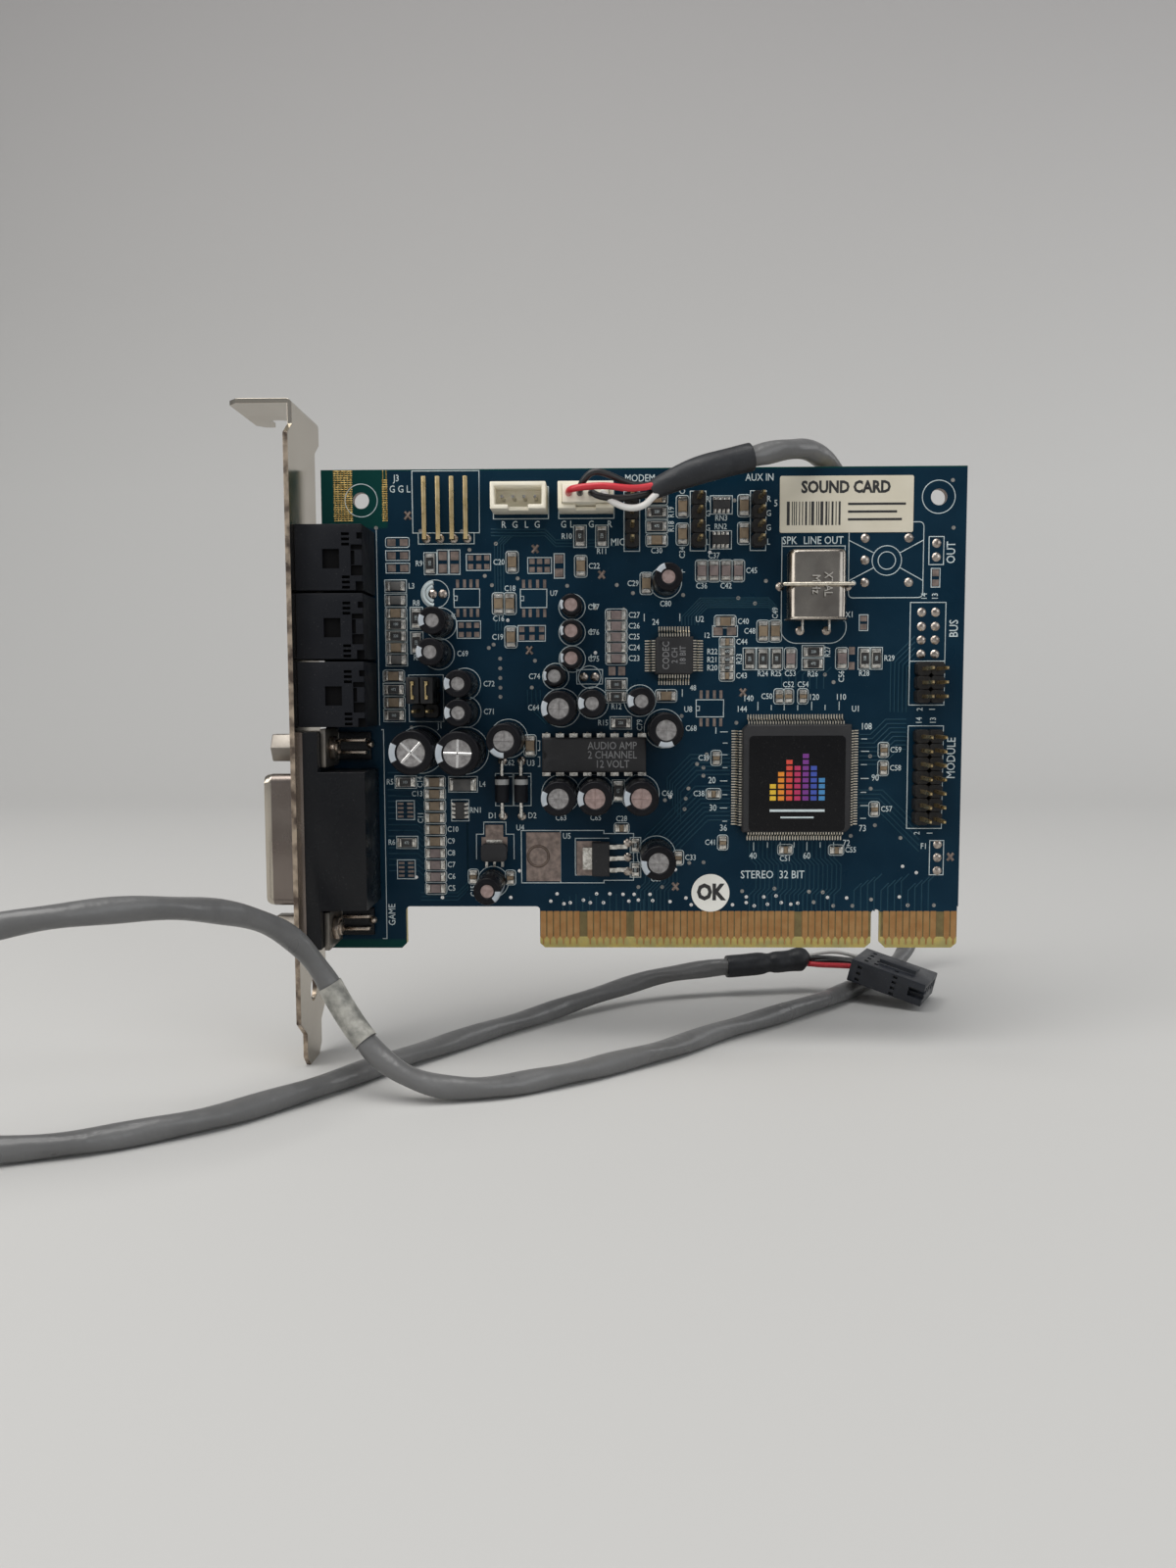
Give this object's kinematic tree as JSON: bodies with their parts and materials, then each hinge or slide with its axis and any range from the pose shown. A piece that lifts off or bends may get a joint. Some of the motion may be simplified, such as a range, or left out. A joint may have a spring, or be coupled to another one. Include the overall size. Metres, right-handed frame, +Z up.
{
  "type": "sound card",
  "caption": "Short expansion sound card with bent steel bracket, audio jacks, game port, edge connector, chips, capacitors, headers and a plugged-in grey audio lead.",
  "frame": {"origin": "middle of the edge connector's bottom edge, on the component face", "axes": "+X from the bracket along the board, +Y through the board from the component face to the solder face, +Z up from the edge connector"},
  "size_m": [0.1883, 0.1384, 0.12],
  "materials": {
    "board_mask": "dark blue-green solder mask",
    "contact_gold": "worn gold plating",
    "tinned_copper": "bare tinned copper",
    "bracket_steel": "nickel plated steel",
    "lock_metal": "plated spring brass",
    "black_plastic": "moulded black plastic",
    "chip_epoxy": "moulded epoxy",
    "chip_ceramic": "brown ceramic",
    "tinned_lead": "tinned lead",
    "pin_gold": "gold plated pins",
    "crystal_case": "drawn nickel silver",
    "capacitor_sleeve": "shrunk sleeve",
    "capacitor_metal": "drawn aluminium",
    "seal_rubber": "rubber seal",
    "cream_plastic": "cream nylon",
    "label_film": "printed film",
    "label_paper": "off-white paper",
    "cable_grey": "grey cable jacket",
    "shrink_black": "shrink sleeve",
    "wire_insulation": "red, white and black insulation"
  },
  "bodies": {
    "root": {"amplifier_body": "chip_epoxy", "amplifier_leads": "tinned_lead", "angle_pins": "pin_gold", "audio_header_open": "cream_plastic", "audio_header_pins": "tinned_lead", "audio_header_used": "cream_plastic", "audio_jack_lower": "black_plastic", "audio_jack_middle": "black_plastic", "audio_jack_upper": "black_plastic", "board_label": "label_paper", "board_lock_lower": "lock_metal", "board_lock_upper": "lock_metal", "cable_jacket": "cable_grey", "capacitor_cans": "capacitor_metal", "capacitor_seals": "seal_rubber", "capacitor_sleeves_large": "capacitor_sleeve", "capacitor_sleeves_medium": "capacitor_sleeve", "capacitor_sleeves_small": "capacitor_sleeve", "chip_capacitors": "chip_ceramic", "chip_end_caps": "tinned_lead", "chip_resistors": "chip_epoxy", "circuit_board": "board_mask", "codec_body": "chip_epoxy", "codec_leads": "tinned_lead", "copper_pads": "tinned_copper", "crystal_can": "crystal_case", "crystal_leads": "tinned_lead", "crystal_strap": "tinned_lead", "diode_leads": "tinned_lead", "diodes": "chip_epoxy", "edge_contacts_back": "contact_gold", "edge_contacts_front": "contact_gold", "ferrite_inductors": "chip_epoxy", "free_plug": "black_plastic", "free_wires": "wire_insulation", "game_port_contacts": "tinned_lead", "game_port_housing": "black_plastic", "game_port_insulator": "black_plastic", "game_port_shell": "bracket_steel", "jack_contacts": "tinned_lead", "jumper_shunts": "black_plastic", "mounting_bracket": "bracket_steel", "pin_header_bases": "black_plastic", "pin_header_pins": "pin_gold", "plug_wires": "wire_insulation", "regulator_body": "chip_epoxy", "regulator_leads": "tinned_lead", "resistor_arrays": "chip_epoxy", "round_label": "label_paper", "shrink_sleeve_lower": "shrink_black", "shrink_sleeve_upper": "shrink_black", "shunt_clips": "pin_gold", "small_regulator_body": "chip_epoxy", "small_regulator_leads": "tinned_lead", "sound_chip_body": "chip_epoxy", "sound_chip_label": "label_film", "sound_chip_leads": "tinned_lead", "standoff_lower": "bracket_steel", "standoff_upper": "bracket_steel", "white_plug": "cream_plastic"}
  },
  "joints": []
}
